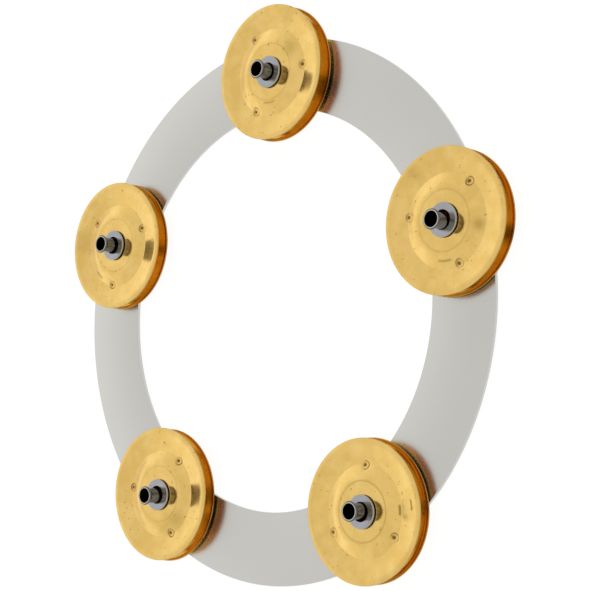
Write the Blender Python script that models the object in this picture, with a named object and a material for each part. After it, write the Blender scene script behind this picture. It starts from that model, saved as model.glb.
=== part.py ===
"""Jingle ring: a flat steel ring that carries five pairs of brass jingles on hollow rivets.

Metres, +Z up. The ring lies flat with its axis on Z, and its upper face is the plane z = 0.
Each station has, from the ring upwards: a washer, two dished jingles back to back, and a second
washer. A hollow rivet holds the stack: its flat head lies under the ring and its rolled mouth
keeps the stack on.
"""

import math

import bmesh
import bpy
from mathutils import Matrix, Vector

# Ring, cut from flat sheet
RING_OUTER_RADIUS = 0.0762
RING_BAND_WIDTH = 0.0200
RING_THICKNESS = 0.0010
RING_EDGE_BREAK = 0.00012

# Stations, evenly spaced on the middle of the band, the first on +Y
STATION_COUNT = 5
FIRST_STATION_ANGLE = math.radians(90.0)

# Jingle, drawn from brass sheet
JINGLE_RADIUS = 0.0191
JINGLE_SHEET = 0.0004
JINGLE_BOSS_RADIUS = 0.0077
JINGLE_BOSS_RISE = 0.0002
JINGLE_SHOULDER_ROUNDING = 0.0028
JINGLE_VALLEY_RADIUS = 0.0122
JINGLE_VALLEY_DEPTH = 0.0012
JINGLE_RIM_ROUNDING = 0.0020
JINGLE_RIM_DROOP = math.radians(25.0)

# Washer, stamped
WASHER_RADIUS = 0.0045
WASHER_THICKNESS = 0.0005
WASHER_EDGE_BREAK = 0.00015

# Hollow rivet
SHANK_RADIUS = 0.0021
TUBE_WALL = 0.0003
MOUTH_BEAD_RADIUS = 0.00045
HEAD_RADIUS = 0.0040
HEAD_THICKNESS = 0.0008
HEAD_EDGE_BREAK = 0.00025

# Travel of the stack on its rivet
PAIR_LIFT = 0.00145
PAIR_PARTING = 0.0020

# Clearances
SEAT_GAP = 0.0002
PAIR_GAP = 0.0004
RING_HOLE_CLEARANCE = 0.0002
WASHER_HOLE_CLEARANCE = 0.0003
JINGLE_HOLE_CLEARANCE = 0.00065

# Facets round each turned piece
RING_FACETS = 72
JINGLE_FACETS = 32
SMALL_FACETS = 16

WELD_DISTANCE = 0.000001
SMOOTH_ANGLE = math.radians(35.0)

# Radii that follow from the sizes above
RING_INNER_RADIUS = RING_OUTER_RADIUS - RING_BAND_WIDTH
STATION_RADIUS = (RING_OUTER_RADIUS + RING_INNER_RADIUS) / 2
BORE_RADIUS = SHANK_RADIUS - TUBE_WALL

# Heights of the stack above the ring's upper face
JINGLE_DISH_DEPTH = JINGLE_VALLEY_DEPTH + JINGLE_SHEET
LOWER_WASHER_Z = SEAT_GAP
LOWER_JINGLE_Z = LOWER_WASHER_Z + WASHER_THICKNESS + SEAT_GAP + JINGLE_BOSS_RISE
UPPER_JINGLE_Z = LOWER_JINGLE_Z + 2 * JINGLE_DISH_DEPTH + PAIR_GAP
UPPER_WASHER_Z = UPPER_JINGLE_Z + JINGLE_BOSS_RISE + SEAT_GAP
MOUTH_UNDERSIDE_Z = UPPER_WASHER_Z + WASHER_THICKNESS + PAIR_LIFT + PAIR_PARTING + SEAT_GAP
HEAD_TOP_Z = -RING_THICKNESS - SEAT_GAP


def clear_scene():
    for item in list(bpy.data.objects):
        bpy.data.objects.remove(item, do_unlink=True)


def make_material(name, colour, roughness):
    material = bpy.data.materials.new(name)
    material.use_nodes = True
    shader = material.node_tree.nodes["Principled BSDF"]
    shader.inputs["Base Color"].default_value = (*colour, 1.0)
    shader.inputs["Roughness"].default_value = roughness
    shader.inputs["Metallic"].default_value = 1.0
    material.diffuse_color = (*colour, 1.0)
    return material


def arc(centre_r, centre_z, radius, start, end, spans):
    """Points on a round stretch of an outline, from one angle to the other."""
    angles = [start + (end - start) * step / spans for step in range(spans + 1)]
    return [(centre_r + radius * math.cos(a), centre_z + radius * math.sin(a)) for a in angles]


def sheet_outline(face, thickness):
    """Close an outline of sheet metal: its face, then its other side at the sheet's thickness."""
    other_side = []
    last = len(face) - 1
    for index in range(last + 1):
        before = Vector(face[index]) - Vector(face[max(index - 1, 0)])
        after = Vector(face[min(index + 1, last)]) - Vector(face[index])
        run_in = (before if index > 0 else after).normalized()
        run_out = (after if index < last else before).normalized()
        normal_in = Vector((run_in.y, -run_in.x))
        normal_out = Vector((run_out.y, -run_out.x))
        middle = (normal_in + normal_out).normalized()
        reach = thickness / middle.dot(normal_in)
        other_side.append(tuple(Vector(face[index]) + middle * reach))
    return face + other_side[::-1]


def turn(name, outline, facets, closed, material):
    """Turn an outline of (radius, height) points about Z into a closed solid."""
    shape = bmesh.new()
    corners = [shape.verts.new((radius, 0.0, height)) for radius, height in outline]
    edges = [shape.edges.new(pair) for pair in zip(corners, corners[1:])]
    if closed:
        edges.append(shape.edges.new((corners[-1], corners[0])))
    bmesh.ops.spin(
        shape,
        geom=corners + edges,
        cent=(0, 0, 0),
        axis=(0, 0, 1),
        angle=math.tau,
        steps=facets,
    )
    bmesh.ops.remove_doubles(shape, verts=shape.verts, dist=WELD_DISTANCE)
    bmesh.ops.recalc_face_normals(shape, faces=shape.faces)
    mesh = bpy.data.meshes.new(name)
    shape.to_mesh(mesh)
    shape.free()
    mesh.shade_smooth()
    mesh.set_sharp_from_angle(angle=SMOOTH_ANGLE)
    mesh.materials.append(material)
    return mesh


def place(name, mesh, parent=None, height=0.0, face_down=False):
    """Put a mesh in the scene as its own object, on its parent's axis."""
    item = bpy.data.objects.new(name, mesh)
    bpy.context.collection.objects.link(item)
    item.parent = parent
    item.location.z = height
    item.rotation_euler.x = math.pi if face_down else 0.0
    return item


def ring_outline():
    """A flat band whose four edges are broken."""
    edge = min(RING_EDGE_BREAK, RING_THICKNESS / 3)
    return [
        (RING_INNER_RADIUS, -edge),
        (RING_INNER_RADIUS + edge, 0.0),
        (RING_OUTER_RADIUS - edge, 0.0),
        (RING_OUTER_RADIUS, -edge),
        (RING_OUTER_RADIUS, edge - RING_THICKNESS),
        (RING_OUTER_RADIUS - edge, -RING_THICKNESS),
        (RING_INNER_RADIUS + edge, -RING_THICKNESS),
        (RING_INNER_RADIUS, edge - RING_THICKNESS),
    ]


def washer_outline():
    """A stamped ring that stands on z = 0, with its upper outer edge broken."""
    hole = SHANK_RADIUS + WASHER_HOLE_CLEARANCE
    edge = min(WASHER_EDGE_BREAK, WASHER_THICKNESS / 2)
    return [
        (hole, WASHER_THICKNESS),
        (WASHER_RADIUS - edge, WASHER_THICKNESS),
        (WASHER_RADIUS, WASHER_THICKNESS - edge),
        (WASHER_RADIUS, 0.0),
        (hole, 0.0),
    ]


def jingle_outline():
    """A dished jingle, face up, with the crest of its rim on z = 0.

    From the hole outwards: a flat boss, a round shoulder, a straight flank down to the crease of
    the valley, a cone that rises to the crest, and a rim that droops a little past it.
    """
    hole = SHANK_RADIUS + JINGLE_HOLE_CLEARANCE
    upright = math.radians(90.0)
    flank_width = JINGLE_VALLEY_RADIUS - JINGLE_BOSS_RADIUS
    flank_drop = JINGLE_BOSS_RISE + JINGLE_VALLEY_DEPTH
    shoulder = min(JINGLE_SHOULDER_ROUNDING, 0.65 * flank_width)
    reach = Vector((flank_width, shoulder - flank_drop))
    flank_slope = math.asin(shoulder / reach.length) - math.atan2(reach.y, reach.x)
    face = [(hole, JINGLE_BOSS_RISE)]
    shoulder_z = JINGLE_BOSS_RISE - shoulder
    face += arc(JINGLE_BOSS_RADIUS, shoulder_z, shoulder, upright, upright - flank_slope, 2)
    face.append((JINGLE_VALLEY_RADIUS, -JINGLE_VALLEY_DEPTH))
    crest_r = JINGLE_RADIUS - JINGLE_RIM_ROUNDING * math.sin(JINGLE_RIM_DROOP)
    reach = Vector((crest_r - JINGLE_VALLEY_RADIUS, JINGLE_VALLEY_DEPTH - JINGLE_RIM_ROUNDING))
    cone_slope = math.atan2(reach.y, reach.x) + math.asin(JINGLE_RIM_ROUNDING / reach.length)
    start, end = upright + cone_slope, upright - JINGLE_RIM_DROOP
    face += arc(crest_r, -JINGLE_RIM_ROUNDING, JINGLE_RIM_ROUNDING, start, end, 2)
    return sheet_outline(face, JINGLE_SHEET)


def rivet_outline():
    """From the bore's floor up the bore, over the rolled mouth, down the shank and round the head."""
    bead_r = BORE_RADIUS + MOUTH_BEAD_RADIUS
    shank_meets_bead = math.acos((SHANK_RADIUS - bead_r) / MOUTH_BEAD_RADIUS)
    bead_z = MOUTH_UNDERSIDE_Z + MOUTH_BEAD_RADIUS
    edge = min(HEAD_EDGE_BREAK, HEAD_THICKNESS / 2)
    head_bottom_z = HEAD_TOP_Z - HEAD_THICKNESS
    outline = [(0.0, HEAD_TOP_Z), (BORE_RADIUS, HEAD_TOP_Z)]
    outline += arc(bead_r, bead_z, MOUTH_BEAD_RADIUS, math.pi, -shank_meets_bead, 6)
    outline += [
        (SHANK_RADIUS, HEAD_TOP_Z),
        (HEAD_RADIUS, HEAD_TOP_Z),
        (HEAD_RADIUS, head_bottom_z + edge),
        (HEAD_RADIUS - edge, head_bottom_z),
        (0.0, head_bottom_z),
    ]
    return outline


def station_place(index):
    """The place and turn of a station on the ring's band."""
    angle = FIRST_STATION_ANGLE - math.tau * index / STATION_COUNT
    return Matrix.Rotation(angle, 4, "Z") @ Matrix.Translation((STATION_RADIUS, 0.0, 0.0))


def cut_rivet_holes(ring):
    """Cut one round hole for each rivet through the ring."""
    cutter_mesh = bpy.data.meshes.new("rivet_hole_cutter")
    shape = bmesh.new()
    hole_radius = SHANK_RADIUS + RING_HOLE_CLEARANCE
    for index in range(STATION_COUNT):
        bmesh.ops.create_cone(
            shape,
            cap_ends=True,
            segments=SMALL_FACETS,
            radius1=hole_radius,
            radius2=hole_radius,
            depth=4 * RING_THICKNESS,
            matrix=station_place(index),
        )
    shape.to_mesh(cutter_mesh)
    shape.free()
    cutter = place("rivet_hole_cutter", cutter_mesh)
    cutter.display_type = "WIRE"
    cutter.hide_render = True
    cut = ring.modifiers.new("rivet_holes", "BOOLEAN")
    cut.operation = "DIFFERENCE"
    cut.object = cutter


def build():
    clear_scene()
    satin_steel = make_material("satin_steel", (0.58, 0.57, 0.55), 0.30)
    rivet_steel = make_material("rivet_steel", (0.40, 0.36, 0.31), 0.35)
    zinc = make_material("zinc_plate", (0.43, 0.42, 0.46), 0.40)
    brass = make_material("polished_brass", (0.78, 0.53, 0.17), 0.18)

    ring = place("ring_plate", turn("ring_plate", ring_outline(), RING_FACETS, True, satin_steel))
    cut_rivet_holes(ring)

    rivet = turn("hollow_rivet", rivet_outline(), SMALL_FACETS, False, rivet_steel)
    washer = turn("washer", washer_outline(), SMALL_FACETS, True, zinc)
    jingle = turn("jingle", jingle_outline(), JINGLE_FACETS, True, brass)

    for index in range(STATION_COUNT):
        number = index + 1
        station = place(f"station_{number}", None)
        station.matrix_world = station_place(index)
        place(f"hollow_rivet_{number}", rivet, station)
        place(f"lower_washer_{number}", washer, station, LOWER_WASHER_Z + WASHER_THICKNESS, True)
        place(f"lower_jingle_{number}", jingle, station, LOWER_JINGLE_Z, True)
        place(f"upper_jingle_{number}", jingle, station, UPPER_JINGLE_Z)
        place(f"upper_washer_{number}", washer, station, UPPER_WASHER_Z)


build()
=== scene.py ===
"""Jingle ring: the finished look of a flat steel ring with five pairs of brass jingles."""

import math

import bpy
from mathutils import Matrix, Vector


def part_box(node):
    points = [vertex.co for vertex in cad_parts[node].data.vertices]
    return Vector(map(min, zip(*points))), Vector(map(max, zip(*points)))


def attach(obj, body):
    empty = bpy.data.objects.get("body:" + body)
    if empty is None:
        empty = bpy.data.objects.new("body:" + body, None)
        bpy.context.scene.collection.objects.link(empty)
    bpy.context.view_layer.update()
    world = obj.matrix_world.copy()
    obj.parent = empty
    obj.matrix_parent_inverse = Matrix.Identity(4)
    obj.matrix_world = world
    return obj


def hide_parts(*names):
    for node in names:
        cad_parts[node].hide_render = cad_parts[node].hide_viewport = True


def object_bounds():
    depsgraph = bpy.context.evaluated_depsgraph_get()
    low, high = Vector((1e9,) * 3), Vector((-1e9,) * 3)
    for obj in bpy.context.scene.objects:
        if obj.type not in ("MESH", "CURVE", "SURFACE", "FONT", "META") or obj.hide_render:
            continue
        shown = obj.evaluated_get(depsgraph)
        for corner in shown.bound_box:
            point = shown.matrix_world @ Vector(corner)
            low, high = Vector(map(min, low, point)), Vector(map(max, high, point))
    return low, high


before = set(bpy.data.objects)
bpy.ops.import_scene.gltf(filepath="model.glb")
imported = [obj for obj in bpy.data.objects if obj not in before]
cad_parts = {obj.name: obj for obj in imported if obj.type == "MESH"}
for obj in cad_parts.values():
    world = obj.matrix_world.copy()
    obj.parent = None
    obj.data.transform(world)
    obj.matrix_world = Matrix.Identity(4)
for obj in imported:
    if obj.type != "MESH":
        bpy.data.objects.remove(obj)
cad_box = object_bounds()

# The ring is one flat band of stainless sheet, 1 mm thick, with a round hole for each rivet. It is
# blanked and tumbled, so that its four edges are slightly rounded, and its faces are satin.

MM = 0.001
RING_OUTER = 76.2 * MM
RING_INNER = 56.2 * MM
RING_SHEET = 1.0 * MM
RING_EDGE = 0.14 * MM
RING_SEGMENTS = 360
RIVET_HOLE = 2.3 * MM
RIVET_HOLE_SEGMENTS = 48
STATIONS = [1, 2, 3, 4, 5]
STEEL_DARK = (0.585, 0.575, 0.555)
STEEL_LIGHT = (0.625, 0.615, 0.595)
WELD = 0.002 * MM
SMOOTH_BELOW = math.radians(35.0)


def middle_of(node):
    """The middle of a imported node, in the plane of the ring's upper face."""
    low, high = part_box(node)
    return Vector(((low.x + high.x) / 2, (low.y + high.y) / 2, 0.0))


def draw_profile(name, profile, segments, ends):
    """Draw a circle out through a profile of (radius, height) points, as on a lathe.

    Its ends are "joined" to each other, "capped" each with a flat face, or left "open".
    """
    radius, height = profile[0]
    bpy.ops.object.select_all(action="DESELECT")
    bpy.ops.mesh.primitive_circle_add(vertices=segments, radius=radius, location=(0.0, 0.0, height))
    piece = bpy.context.object
    piece.name = name
    piece.data.name = name
    bpy.ops.object.transform_apply(location=True, rotation=True, scale=True)
    bpy.ops.object.mode_set(mode="EDIT")
    bpy.ops.mesh.select_all(action="SELECT")
    path = profile[1:]
    if ends == "joined":
        path = path + profile[:1]
    for next_radius, next_height in path:
        rise = Vector((0.0, 0.0, next_height - height))
        bpy.ops.mesh.extrude_region_move(TRANSFORM_OT_translate={"value": rise})
        grow = next_radius / radius
        bpy.ops.transform.resize(value=(grow, grow, 1.0), center_override=(0.0, 0.0, next_height))
        radius, height = next_radius, next_height
    bpy.ops.mesh.select_all(action="SELECT")
    bpy.ops.mesh.remove_doubles(threshold=WELD)
    if ends == "capped":
        bpy.ops.mesh.fill_holes(sides=0)
    bpy.ops.mesh.select_all(action="SELECT")
    bpy.ops.mesh.normals_make_consistent(inside=False)
    bpy.ops.object.mode_set(mode="OBJECT")
    return piece


def select(piece):
    """Select one piece alone and make it the active one."""
    bpy.ops.object.select_all(action="DESELECT")
    piece.select_set(True)
    bpy.context.view_layer.objects.active = piece


def apply_modifier(piece, kind, **settings):
    """Add one modifier to a piece and apply it."""
    added = piece.modifiers.new(kind.lower(), kind)
    for setting, value in settings.items():
        setattr(added, setting, value)
    select(piece)
    bpy.ops.object.modifier_apply(modifier=added.name)


def round_corner(middle_r, middle_z, radius, start, end, spans):
    """Profile points on a round corner, from its middle and between two angles in degrees."""
    turns = [math.radians(start + (end - start) * step / spans) for step in range(spans + 1)]
    return [(middle_r + radius * math.cos(turn), middle_z + radius * math.sin(turn)) for turn in turns]


class Wire:
    """A shader socket that takes part in sums: 1 - mask adds the Math node."""

    def __init__(self, nodes, socket):
        self.nodes = nodes
        self.socket = socket

    def maths(self, operation, first, second):
        return self.nodes.node("ShaderNodeMath", {"operation": operation}, {0: first, 1: second})

    def __add__(self, other):
        return self.maths("ADD", self, other)

    def __radd__(self, other):
        return self.maths("ADD", other, self)

    def __sub__(self, other):
        return self.maths("SUBTRACT", self, other)

    def __rsub__(self, other):
        return self.maths("SUBTRACT", other, self)

    def __mul__(self, other):
        return self.maths("MULTIPLY", self, other)

    def __rmul__(self, other):
        return self.maths("MULTIPLY", other, self)

    def beside(self, output):
        """Another output of the node that this wire comes from."""
        return Wire(self.nodes, self.socket.node.outputs[output])


class Nodes:
    """A node tree while it is made; node adds any shader node and gives back its output."""

    def __init__(self, tree):
        self.tree = tree

    def node(self, kind, settings=None, values=None, output=0):
        made = self.tree.nodes.new(kind)
        for setting, value in (settings or {}).items():
            setattr(made, setting, value)
        for socket, value in (values or {}).items():
            self.feed(made.inputs[socket], value)
        return Wire(self, made.outputs[output])

    def feed(self, socket, value):
        """Link a wire to a socket, or set the socket to a plain value."""
        if isinstance(value, Wire):
            self.tree.links.new(value.socket, socket)
        else:
            socket.default_value = value

    def window(self, value, low, high):
        """0 below low, 1 above high, and a straight run between them."""
        values = {0: value, 1: low, 2: high, 3: 0.0, 4: 1.0}
        return self.node("ShaderNodeMapRange", {"clamp": True}, values)

    def mix(self, factor, *colours):
        """A colour between two, each of them a wire or a plain (red, green, blue)."""
        first, second = [(*colour, 1.0) if isinstance(colour, tuple) else colour for colour in colours]
        values = {"Factor": factor, 6: first, 7: second}
        return self.node("ShaderNodeMix", {"data_type": "RGBA", "blend_type": "MIX"}, values, output=2)


class Finish(Nodes):
    """A metal finish while it is made, on one Principled shader."""

    def __init__(self, name):
        self.material = bpy.data.materials.new(name)
        self.material.use_nodes = True
        super().__init__(self.material.node_tree)
        self.shader = self.tree.nodes["Principled BSDF"]
        self.set("Metallic", 1.0)

    def set(self, socket, value):
        self.feed(self.shader.inputs[socket], value)

    def place(self):
        return self.node("ShaderNodeTexCoord", output="Object")

    def attribute(self, name, output):
        return self.node("ShaderNodeAttribute", {"attribute_name": name}, output=output)

    def noise(self, place, scale, detail=3.0, roughness=0.5):
        values = {"Vector": place, "Scale": scale, "Detail": detail, "Roughness": roughness}
        return self.node("ShaderNodeTexNoise", values=values)

    def bump(self, height, distance, strength):
        values = {"Height": height, "Distance": distance, "Strength": strength}
        self.set("Normal", self.node("ShaderNodeBump", values=values))


def wear(piece, finish):
    """Give a piece one finish all over and smooth its round faces."""
    piece.data.materials.clear()
    piece.data.materials.append(finish.material)
    select(piece)
    bpy.ops.object.shade_smooth_by_angle(angle=SMOOTH_BELOW)


satin_steel = Finish("satin_steel")
spot = satin_steel.place()
cloud = satin_steel.noise(spot, 35.0)
grain = satin_steel.noise(spot, 1500.0, detail=2.0)
satin_steel.set("Base Color", satin_steel.mix(cloud, STEEL_DARK, STEEL_LIGHT))
satin_steel.set("Roughness", 0.22 + cloud * 0.04 + grain * 0.02)

ring_profile = round_corner(RING_INNER + RING_EDGE, -RING_EDGE, RING_EDGE, 180, 90, 3)
ring_profile += round_corner(RING_OUTER - RING_EDGE, -RING_EDGE, RING_EDGE, 90, 0, 3)
ring_profile += round_corner(RING_OUTER - RING_EDGE, RING_EDGE - RING_SHEET, RING_EDGE, 0, -90, 3)
ring_profile += round_corner(RING_INNER + RING_EDGE, RING_EDGE - RING_SHEET, RING_EDGE, -90, -180, 3)
ring = draw_profile("steel_ring", ring_profile, RING_SEGMENTS, "joined")
for number in STATIONS:
    bpy.ops.object.select_all(action="DESELECT")
    bpy.ops.mesh.primitive_cylinder_add(
        vertices=RIVET_HOLE_SEGMENTS,
        radius=RIVET_HOLE,
        depth=4 * RING_SHEET,
        location=middle_of(f"hollow_rivet_{number}"),
    )
    drill = bpy.context.object
    apply_modifier(ring, "BOOLEAN", operation="DIFFERENCE", object=drill)
    bpy.data.objects.remove(drill)
wear(ring, satin_steel)
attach(ring, "ring")
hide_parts("ring_plate")

# A plain washer lies on the ring under each jingle pair, and a second one on top of the pair. They
# are stamped from 0.5 mm steel and zinc plated: the punch leaves the upper outer edge round.

WASHER_RADIUS = 4.5 * MM
WASHER_HOLE = 2.6 * MM
WASHER_SHEET = 0.5 * MM
WASHER_ROUNDING = 0.22 * MM
WASHER_HOLE_EDGE = 0.08 * MM
WASHER_LOWER_EDGE = 0.05 * MM
WASHER_SEGMENTS = 64
RESTING_GAP = 0.01 * MM
ZINC_DARK = (0.33, 0.34, 0.37)
ZINC_LIGHT = (0.45, 0.455, 0.49)
# How far the washers of each station lie off its rivet's axis, in mm, inside the play of their hole
WASHER_LIE = [(-0.1, 0.0), (0.0, 0.34), (0.0, -0.2), (0.24, 0.2), (0.34, 0.0)]


def copy_piece(pattern, name, move, face_down=False, turn=0.0):
    """A copy with a mesh of its own, turned on its axis, turned over if it faces down, and moved."""
    mesh = pattern.data.copy()
    mesh.name = name
    mesh.transform(Matrix.Rotation(turn, 4, "Z"))
    if face_down:
        mesh.transform(Matrix.Rotation(math.pi, 4, "X"))
    mesh.transform(Matrix.Translation(move))
    piece = bpy.data.objects.new(name, mesh)
    bpy.context.scene.collection.objects.link(piece)
    return piece


zinc_plate = Finish("zinc_plate")
spot = zinc_plate.place()
cloud = zinc_plate.noise(spot, 260.0)
grain = zinc_plate.noise(spot, 2600.0, detail=2.0)
zinc_plate.set("Base Color", zinc_plate.mix(cloud, ZINC_DARK, ZINC_LIGHT))
zinc_plate.set("Roughness", 0.14 + grain * 0.1)
zinc_plate.bump(grain, 0.01 * MM, 0.5)

washer_profile = round_corner(
    WASHER_HOLE + WASHER_HOLE_EDGE, WASHER_SHEET - WASHER_HOLE_EDGE, WASHER_HOLE_EDGE, 180, 90, 2
)
washer_profile += round_corner(
    WASHER_RADIUS - WASHER_ROUNDING, WASHER_SHEET - WASHER_ROUNDING, WASHER_ROUNDING, 90, 0, 4
)
washer_profile += round_corner(
    WASHER_RADIUS - WASHER_LOWER_EDGE, WASHER_LOWER_EDGE, WASHER_LOWER_EDGE, 0, -90, 1
)
washer_profile += [(WASHER_HOLE, 0.0)]
washer_pattern = draw_profile("washer", washer_profile, WASHER_SEGMENTS, "joined")
for number in STATIONS:
    for side in ("lower", "upper"):
        node = f"{side}_washer_{number}"
        low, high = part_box(node)
        x, y = WASHER_LIE[number - 1]
        z = low.z if side == "upper" else WASHER_SHEET + RESTING_GAP
        move = middle_of(node) + Vector((x * MM, y * MM, z))
        washer = copy_piece(washer_pattern, f"zinc_washer_{side}_{number}", move, side == "lower")
        wear(washer, zinc_plate)
        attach(washer, node)
        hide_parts(node)
bpy.data.objects.remove(washer_pattern)

# Each jingle is pressed from 0.4 mm brass sheet: a flat boss round the hole, a flank down to a
# crease, and a cone that rises to the rim. The die leaves three small dimples in the crease. The
# two of a pair lie back to back, and years of playing have dulled and dented them.

JINGLE_RADIUS = 19.1 * MM
JINGLE_HOLE = 2.75 * MM
JINGLE_SHEET = 0.4 * MM
JINGLE_EDGE = 0.09 * MM
JINGLE_EDGE_ANGLE = math.radians(50.0)
JINGLE_SEGMENTS = 256
JINGLE_STEP = 0.3 * MM
BEND_SPANS = 8
BOSS_RISE = 0.05 * MM
LOWER_CREST = 0.62 * MM
UPPER_CREST_BELOW_TOP = 0.2 * MM
BRASS_DARK = (0.79, 0.52, 0.155)
BRASS_LIGHT = (0.90, 0.63, 0.22)
BRASS_TARNISH = (0.76, 0.44, 0.09)
# The stain colour paints stains and painted shade; the dark colour paints dirt specks and painted
# shade
BRASS_STAIN_AND_SHADE = (0.50, 0.33, 0.08)
BRASS_DIRT_AND_SHADE = (0.20, 0.11, 0.03)
# How far the jingles of each station lie off its rivet's axis, in mm, inside the play of their hole
JINGLE_LIE = {
    "lower": [(0.32, 0.0), (0.1, 0.1), (-0.18, 0.0), (0.17, 0.2), (0.48, 0.0)],
    "upper": [(-0.18, 0.17), (-0.04, 0.27), (-0.08, -0.12), (0.28, 0.5), (0.46, 0.11)],
}
# The face of a jingle from its hole to its rim: corners of (radius, height, length of the rounding)
JINGLE_PROFILE = {
    "lower": [
        (JINGLE_HOLE, BOSS_RISE, 0.0),
        (8.9 * MM, BOSS_RISE, 1.1 * MM),
        (12.3 * MM, -1.65 * MM, 0.3 * MM),
        (18.3 * MM, 0.03 * MM, 0.4 * MM),
        (JINGLE_RADIUS, -0.10 * MM, 0.0),
    ],
    "upper": [
        (JINGLE_HOLE, BOSS_RISE + 0.03 * MM, 0.0),
        (7.9 * MM, BOSS_RISE + 0.03 * MM, 0.06 * MM),
        (8.1 * MM, BOSS_RISE, 0.06 * MM),
        (9.0 * MM, BOSS_RISE, 0.8 * MM),
        (10.6 * MM, -0.42 * MM, 0.5 * MM),
        (12.4 * MM, -1.05 * MM, 0.15 * MM),
        (14.9 * MM, -0.63 * MM, 1.5 * MM),
        (17.95 * MM, 0.035 * MM, 0.6 * MM),
        (JINGLE_RADIUS, -0.10 * MM, 0.0),
    ],
}
# Three dimples at even thirds, each a pit in a shallow groove: (distance out, width, depth)
DIMPLE_CIRCLE = 12.0 * MM
DIMPLE_THIRDS = [0.0, 120.0, 240.0]
DIMPLE_TURN = {1: 4.0, 2: -67.0, 3: -30.0, 4: -66.0, 5: 23.0}
DIMPLE_SHAPE = [(0.0, 0.5 * MM, 0.2 * MM), (1.15 * MM, 0.3 * MM, 0.08 * MM)]
DIMPLE_REACH = 2.5 * MM
# Where painted shade and wear start and where they are full, out from the middle of a dimple or a
# jingle
# The painted shade of a pit lies off its middle towards -X, so that one side of the pit is darker
PIT_SHADE_MIDDLE = (-0.25 * MM, 0.05 * MM, 0.0)
PIT_SHADE_EDGE = (0.3 * MM, 0.75 * MM)
GROOVE_SHADE_INNER_EDGE = (0.8 * MM, 1.05 * MM)
GROOVE_SHADE_OUTER_EDGE = (1.15 * MM, 1.45 * MM)
# The rim ramp is wear on the upper jingles; on the lower ones it is painted shade, darker towards the
# rim
WORN_AND_SHADED_RIM = (16.5 * MM, 18.7 * MM)
# Painted shade: the outer edge wall of every jingle is painted dark
SHADED_EDGE = (18.98 * MM, 19.08 * MM)
# Painted shade: the brass round the hole, under the washer, is painted dark
SHADED_HOLE = (3.4 * MM, 3.0 * MM)
SHADED_HOLE_STRENGTH = 2.0
# How strong the rim ramp is: wear on the upper jingles, painted shade in the gap between a pair on the
# lower ones
RIM_WEAR_AND_SHADE = {"lower": 0.4, "upper": 0.08}
# Stains and painted shade along soft arcs: (middle and half length in degrees, radius and width in mm,
# strength)
# The arcs of the lower jingles, near their rims, are painted shade in the gap between the two jingles
# of a pair
STAINS_AND_SHADE = {
    "upper_1": [
        (0.0, 180.0, 8.0, 0.25, 0.35),
        (40.0, 0.0, 9.5, 2.4, 0.5),
        (67.0, 0.0, 16.0, 3.0, 0.35),
        (-88.0, 12.0, 8.8, 0.3, 0.8),
    ],
    "upper_2": [
        (0.0, 180.0, 8.0, 0.25, 0.4),
        (-8.0, 0.0, 10.8, 1.6, 0.85),
        (130.0, 0.0, 16.5, 2.2, 0.35),
        (-88.0, 10.0, 10.3, 0.3, 1.0),
    ],
    "upper_3": [
        (0.0, 180.0, 8.0, 0.25, 0.6),
        (5.0, 5.0, 11.9, 0.3, 1.7),
        (-2.0, 0.0, 13.8, 0.9, 0.8),
        (9.5, 4.0, 16.1, 0.3, 1.6),
    ],
    "upper_4": [
        (0.0, 180.0, 8.0, 0.25, 0.3),
        (-45.0, 0.0, 9.8, 3.2, 0.5),
        (-75.0, 0.0, 10.5, 2.0, 0.3),
    ],
    "upper_5": [
        (0.0, 180.0, 8.0, 0.25, 0.3),
        (175.0, 0.0, 14.5, 4.5, 0.4),
        (230.0, 6.0, 11.5, 0.5, 0.9),
    ],
    "lower_1": [(-18.0, 4.0, 17.6, 2.6, 1.2)],
    "lower_2": [(-12.0, 1.0, 17.9, 2.2, 1.1)],
    "lower_3": [(6.0, 0.0, 17.9, 2.2, 0.8)],
    "lower_4": [(2.0, 2.0, 17.4, 2.4, 0.85), (-23.0, 0.0, 17.8, 2.0, 0.75)],
    "lower_5": [(-6.0, 0.0, 17.1, 1.8, 0.9)],
}

polished_brass = Finish("polished_brass")
spot = polished_brass.place()
dimple = polished_brass.attribute("dimple", "Vector")
stain_and_shade = polished_brass.attribute("stain_and_shade", "Fac")
cloud = polished_brass.noise(spot, 70.0, detail=4.0)
mottle = polished_brass.noise(spot, 260.0, detail=4.0, roughness=0.6)
speck = polished_brass.noise(spot, 900.0, detail=2.0)
off_dimple = polished_brass.node(
    "ShaderNodeVectorMath", {"operation": "LENGTH"}, {0: dimple}, output="Value"
)
off_pit = polished_brass.node(
    "ShaderNodeVectorMath", {"operation": "DISTANCE"}, {0: dimple, 1: PIT_SHADE_MIDDLE}, output="Value"
)
# Painted shade: a broken ring in the groove round each dimple, and one side of its pit
groove = polished_brass.window(off_dimple, *GROOVE_SHADE_INNER_EDGE)
groove -= polished_brass.window(off_dimple, *GROOVE_SHADE_OUTER_EDGE)
groove *= polished_brass.window(mottle, 0.35, 0.55)
pit = 1.0 - polished_brass.window(off_pit, *PIT_SHADE_EDGE)
tarnish = polished_brass.window(cloud, 0.5, 0.75)
specks = polished_brass.window(speck + stain_and_shade * 0.05 + cloud * 0.2, 0.78, 0.84)
light_and_dark = polished_brass.window(mottle * 0.5 + cloud * 0.5, 0.4, 0.62)
clean = polished_brass.mix(light_and_dark, BRASS_DARK, BRASS_LIGHT)
dull = polished_brass.mix(tarnish * 0.5, clean, BRASS_TARNISH)
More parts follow.
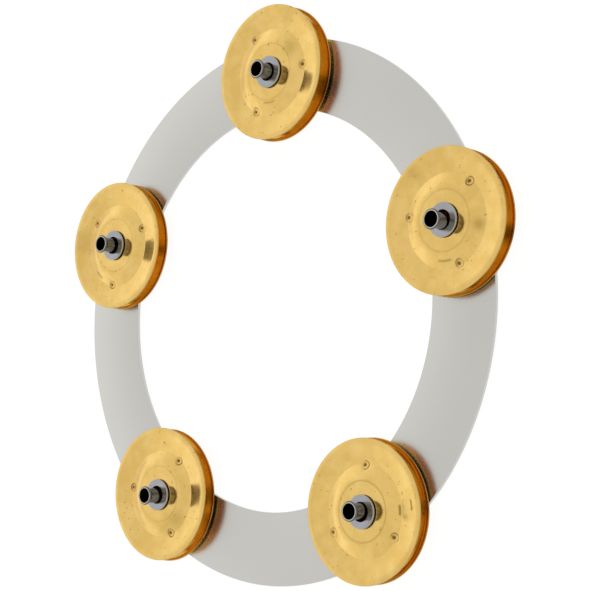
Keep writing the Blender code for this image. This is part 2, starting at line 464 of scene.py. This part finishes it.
# Stains and painted shade; past 1, painted shade and dirt specks turn the brass dark
stained_and_shaded = polished_brass.mix(stain_and_shade, dull, BRASS_STAIN_AND_SHADE)
dirt_and_shade = polished_brass.window(stain_and_shade, 1.0, 2.0) + specks * 0.5 + groove * 0.9 + pit
polished_brass.set("Base Color", polished_brass.mix(dirt_and_shade, stained_and_shaded, BRASS_DIRT_AND_SHADE))
polished_brass.set("Roughness", 0.1 + tarnish * 0.08 + speck * 0.04)
dent = polished_brass.noise(spot, 90.0, detail=1.5)
polished_brass.bump(dent, 0.17 * MM, 1.0)


def bend(corners, spans):
    """A profile through corners (radius, height, rounding), each corner turned on a smooth curve."""
    points = []
    for index, (corner_r, corner_z, rounding) in enumerate(corners):
        corner = Vector((corner_r, corner_z))
        if rounding == 0.0:
            points.append(corner)
            continue
        back = (Vector(corners[index - 1][:2]) - corner).normalized() * rounding
        ahead = (Vector(corners[index + 1][:2]) - corner).normalized() * rounding
        for step in range(spans + 1):
            along = step / spans
            points.append(corner + back * (1 - along) ** 2 + ahead * along**2)
    return points


def divide(points, longest):
    """The same profile, with points put in wherever two lie further apart than longest."""
    divided = [points[0]]
    for point in points[1:]:
        last = divided[-1]
        pieces = math.ceil((point - last).length / longest)
        divided += [last.lerp(point, step / pieces) for step in range(1, pieces + 1)]
    return [(point.x, point.y) for point in divided]


def around(angle, radius):
    """A place on a circle, with its angle in degrees."""
    return Vector((math.cos(math.radians(angle)), math.sin(math.radians(angle)))) * radius


def press(piece, middle, shape):
    """Press a round mark into the sheet, of rings (distance from its middle, width, depth)."""
    for vertex in piece.data.vertices:
        away = (vertex.co.xy - middle).length
        if away < DIMPLE_REACH:
            for distance, width, depth in shape:
                vertex.co.z -= depth * math.exp(-(((away - distance) / width) ** 2))
    piece.data.update()


def ramp(value, start, full):
    """0 at start, 1 at full, and a straight run between them."""
    return min(max((value - start) / (full - start), 0.0), 1.0)


def paint_stain_and_shade(piece, centre, stains_and_shade, rim_wear_and_shade):
    """Store each point's stain and painted shade: its arcs, its rim, its edge and the brass round its
    hole.
    """
    values = []
    for vertex in piece.data.vertices:
        out = vertex.co.xy - centre.xy
        away = out.length
        heading = math.degrees(math.atan2(out.y, out.x))
        value = rim_wear_and_shade * ramp(away, *WORN_AND_SHADED_RIM) + ramp(away, *SHADED_EDGE)
        value += SHADED_HOLE_STRENGTH * ramp(away, *SHADED_HOLE)
        for angle, half_length, radius, width, strength in stains_and_shade:
            past = max(abs((heading - angle + 180.0) % 360.0 - 180.0) - half_length, 0.0)
            off = math.hypot(away - radius * MM, math.radians(past) * away)
            value += strength * math.exp(-((off / (width * MM)) ** 2))
        values.append(value)
    piece.data.attributes.new("stain_and_shade", "FLOAT", "POINT").data.foreach_set("value", values)


def paint_dimples(piece, dimples):
    """Store where each point lies from the dimple nearest to it."""
    values = []
    for vertex in piece.data.vertices:
        nearest = min((vertex.co.xy - dimple for dimple in dimples), key=lambda away: away.length)
        values += [nearest.x, nearest.y, 0.0]
    piece.data.attributes.new("dimple", "FLOAT_VECTOR", "POINT").data.foreach_set("vector", values)


for side in ("lower", "upper"):
    face_down = side == "lower"
    profile = divide(bend(JINGLE_PROFILE[side], BEND_SPANS), JINGLE_STEP)
    jingle_pattern = draw_profile(f"{side}_jingle", profile, JINGLE_SEGMENTS, "open")
    for third in DIMPLE_THIRDS:
        press(jingle_pattern, around(third, DIMPLE_CIRCLE), DIMPLE_SHAPE)
    for number in STATIONS:
        node = f"{side}_jingle_{number}"
        low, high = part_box(node)
        crest = LOWER_CREST if face_down else high.z - UPPER_CREST_BELOW_TOP
        x, y = JINGLE_LIE[side][number - 1]
        centre = middle_of(node) + Vector((x * MM, y * MM, crest))
        turn = math.radians(DIMPLE_TURN[number])
        jingle = copy_piece(jingle_pattern, f"brass_jingle_{side}_{number}", centre, face_down, turn)
        apply_modifier(jingle, "SOLIDIFY", thickness=JINGLE_SHEET, offset=-1.0, use_even_offset=True)
        apply_modifier(
            jingle,
            "BEVEL",
            width=JINGLE_EDGE,
            segments=2,
            limit_method="ANGLE",
            angle_limit=JINGLE_EDGE_ANGLE,
        )
        paint_stain_and_shade(jingle, centre, STAINS_AND_SHADE[f"{side}_{number}"], RIM_WEAR_AND_SHADE[side])
        angles = [DIMPLE_TURN[number] + third for third in DIMPLE_THIRDS]
        if face_down:
            angles = [-angle for angle in angles]
        paint_dimples(jingle, [centre.xy + around(angle, DIMPLE_CIRCLE) for angle in angles])
        wear(jingle, polished_brass)
        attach(jingle, node)
        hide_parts(node)
    bpy.data.objects.remove(jingle_pattern)

# A hollow steel rivet holds each stack. It is drawn from thin tube, its mouth is rolled outwards
# over the stack, and its flat head is set under the ring.

SHANK_RADIUS = 2.1 * MM
BORE_RADIUS = 1.85 * MM
HEAD_RADIUS = 4.0 * MM
HEAD_HEIGHT = 0.8 * MM
HEAD_EDGE = 0.3 * MM
RIVET_SEGMENTS = 64
# The tube's olive-brown tones and their streaks are painted reflection of the brass round it
TUBE_REFLECTION_DARK = (0.17, 0.14, 0.08)
TUBE_REFLECTION_LIGHT = (0.36, 0.33, 0.26)
# Painted shade on the rolled mouth, and a painted highlight on its lip
FLARE_SHADE = (0.15, 0.14, 0.12)
LIP_HIGHLIGHT = (0.55, 0.53, 0.50)
HEAD_TONE = (0.46, 0.44, 0.40)
HEAD_BLEND = 0.1 * MM
# Heights from the top of the rivet, at which its colour turns to painted shade on the rolled mouth
# and to a painted highlight on its lip
FLARE_SHADE_START = -1.1 * MM
FLARE_SHADE_FULL = -0.7 * MM
LIP_HIGHLIGHT_START = -0.08 * MM
LIP_HIGHLIGHT_FULL = -0.04 * MM
# The tube from inside the bore, over the mouth and down the shank: corners as in a jingle's face,
# with their heights from the top of the rivet
MOUTH = [
    (BORE_RADIUS, -1.6 * MM, 0.3 * MM),
    (2.0 * MM, -0.3 * MM, 0.2 * MM),
    (2.13 * MM, 0.0, 0.06 * MM),
    (2.25 * MM, 0.0, 0.05 * MM),
    (2.70 * MM, -0.28 * MM, 0.1 * MM),
    (2.62 * MM, -0.5 * MM, 0.12 * MM),
    (2.2 * MM, -0.95 * MM, 0.3 * MM),
    (SHANK_RADIUS, -2.0 * MM, 0.3 * MM),
]

rivet_low, rivet_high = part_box("hollow_rivet_1")
top = rivet_high.z
head_top = rivet_low.z + HEAD_HEIGHT

nickel_steel = Finish("nickel_steel")
spot = nickel_steel.place()
stretched = nickel_steel.node("ShaderNodeMapping", values={"Vector": spot, "Scale": (1.0, 1.0, 0.2)})
cloud = nickel_steel.noise(stretched, 1200.0)
height = nickel_steel.node("ShaderNodeSeparateXYZ", values={"Vector": spot}, output="Z")
flare = nickel_steel.window(height, top + FLARE_SHADE_START, top + FLARE_SHADE_FULL)
lip = nickel_steel.window(height, top + LIP_HIGHLIGHT_START, top + LIP_HIGHLIGHT_FULL)
# Painted reflection: streaks of the brass mirrored in the tube
reflected_streak = nickel_steel.window(cloud, 0.4, 0.6)
tube = nickel_steel.mix(reflected_streak, TUBE_REFLECTION_DARK, TUBE_REFLECTION_LIGHT)
# Painted shade on the mouth and a painted highlight on the lip
mouth_shade_and_highlight = nickel_steel.mix(lip, FLARE_SHADE, LIP_HIGHLIGHT)
shank = nickel_steel.mix(flare, tube, mouth_shade_and_highlight)
head = 1.0 - nickel_steel.window(height, -RING_SHEET - HEAD_BLEND, -RING_SHEET)
nickel_steel.set("Base Color", nickel_steel.mix(head * (1.0 - cloud * 0.4), shank, HEAD_TONE))
nickel_steel.set("Roughness", 0.1 + cloud * 0.06)
nickel_steel.bump(cloud, 0.01 * MM, 0.5)

bore_end = (BORE_RADIUS, head_top - top, 0.0)
shank_end = (SHANK_RADIUS, head_top - top, 0.0)
rivet_profile = [(BORE_RADIUS * 0.4, head_top)]
rivet_profile += [(point.x, point.y + top) for point in bend([bore_end, *MOUTH, shank_end], 6)]
rivet_profile += [(HEAD_RADIUS, head_top)]
rivet_profile += round_corner(HEAD_RADIUS - HEAD_EDGE, rivet_low.z + HEAD_EDGE, HEAD_EDGE, 0, -90, 5)
rivet_profile += [(HEAD_RADIUS * 0.3, rivet_low.z)]
rivet_pattern = draw_profile("rivet", rivet_profile, RIVET_SEGMENTS, "capped")
for number in STATIONS:
    node = f"hollow_rivet_{number}"
    rivet = copy_piece(rivet_pattern, f"rolled_rivet_{number}", middle_of(node))
    wear(rivet, nickel_steel)
    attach(rivet, "ring")
    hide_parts(node)
bpy.data.objects.remove(rivet_pattern)

# The studio is a pale paper floor and an even light from all round, which is a little stronger on
# the side that the jingles mirror. The paper shows white, also in mirrors, and keeps the shadow.

FLOOR_DROP = 0.05 * MM
FLOOR_SIZE = 8.0
PAPER_BOUNCE = (0.8, 0.8, 0.8, 1.0)
PAPER_SHOWN = (0.12, 0.12, 0.12, 1.0)
PAPER_GLOW = 0.92
WHITE = (1.0, 1.0, 1.0)
AIR_TINT = (1.0, 1.0, 0.97)
LIGHT_ALL_ROUND = 0.87
# On the stronger side, the light falls from one strength to the other between these heights
SIDE_HEIGHT = 0.35
SIDE_STRENGTH = 1.14
OVERHEAD_HEIGHT = 0.92
OVERHEAD_STRENGTH = 0.83
GLOSSY_BOUNCES = 12

bpy.ops.object.select_all(action="DESELECT")
bpy.ops.mesh.primitive_plane_add(size=FLOOR_SIZE, location=(0.0, 0.0, cad_box[0].z - FLOOR_DROP))
floor = bpy.context.object
floor.name = "floor"
white_paper = bpy.data.materials.new("white_paper")
white_paper.use_nodes = True
paper = Nodes(white_paper.node_tree)
paper.tree.nodes.remove(paper.tree.nodes["Principled BSDF"])
shown = paper.node("ShaderNodeBsdfDiffuse", values={"Color": PAPER_SHOWN})
glow = paper.node("ShaderNodeEmission", values={"Color": (*WHITE, 1.0), "Strength": PAPER_GLOW})
bright = paper.node("ShaderNodeAddShader", values={0: shown, 1: glow})
bounced = paper.node("ShaderNodeBsdfDiffuse", values={"Color": PAPER_BOUNCE})
rays = paper.node("ShaderNodeLightPath", output="Is Camera Ray")
seen = paper.node(
    "ShaderNodeMath",
    {"operation": "MAXIMUM"},
    {0: rays + rays.beside("Is Glossy Ray"), 1: rays.beside("Is Transmission Ray")},
)
both = paper.node("ShaderNodeMixShader", values={0: seen, 1: bounced, 2: bright})
paper.feed(paper.tree.nodes["Material Output"].inputs["Surface"], both)
floor.data.materials.append(white_paper)

world = bpy.data.worlds.new("studio")
bpy.context.scene.world = world
world.use_nodes = True
sky = Nodes(world.node_tree)
direction = sky.node("ShaderNodeTexCoord", output="Generated")
east = sky.node("ShaderNodeSeparateXYZ", values={"Vector": direction}, output="X")
north = east.beside("Y")
height = east.beside("Z")
fall = {0: height, 1: SIDE_HEIGHT, 2: OVERHEAD_HEIGHT, 3: SIDE_STRENGTH, 4: OVERHEAD_STRENGTH}
stronger = sky.node("ShaderNodeMapRange", {"clamp": True}, fall)
facing = sky.window(north * 0.12 - east * 0.99, 0.3, 0.8)
light = LIGHT_ALL_ROUND + (stronger - LIGHT_ALL_ROUND) * sky.window(height, 0.2, 0.3) * facing
rays = sky.node("ShaderNodeLightPath", output="Is Camera Ray")
background = world.node_tree.nodes["Background"]
sky.feed(background.inputs["Strength"], rays + (1.0 - rays) * light)
sky.feed(background.inputs["Color"], sky.mix(rays, AIR_TINT, WHITE))

# The camera stands where the photograph was taken from. Its place, its tilt and its lens were
# fitted to the edges of the ring and to the rims of the jingles.

CAMERA_PLACE = (0.32123, -0.03256, 0.33652)
CAMERA_LOOK = (-0.679, 0.0785, -0.730)
CAMERA_UP = (0.0287, 0.9963, 0.0805)

camera_data = bpy.data.cameras.new("camera")
camera_data.sensor_width = 36.0
camera_data.lens = 101.92
camera = bpy.data.objects.new("camera", camera_data)
bpy.context.scene.collection.objects.link(camera)
look = Vector(CAMERA_LOOK).normalized()
right = look.cross(Vector(CAMERA_UP)).normalized()
up = right.cross(look)
turn = Matrix((right, up, -look)).transposed().to_4x4()
camera.matrix_world = Matrix.Translation(CAMERA_PLACE) @ turn
bpy.context.scene.camera = camera
bpy.context.scene.view_settings.view_transform = "Standard"
bpy.context.scene.cycles.glossy_bounces = GLOSSY_BOUNCES
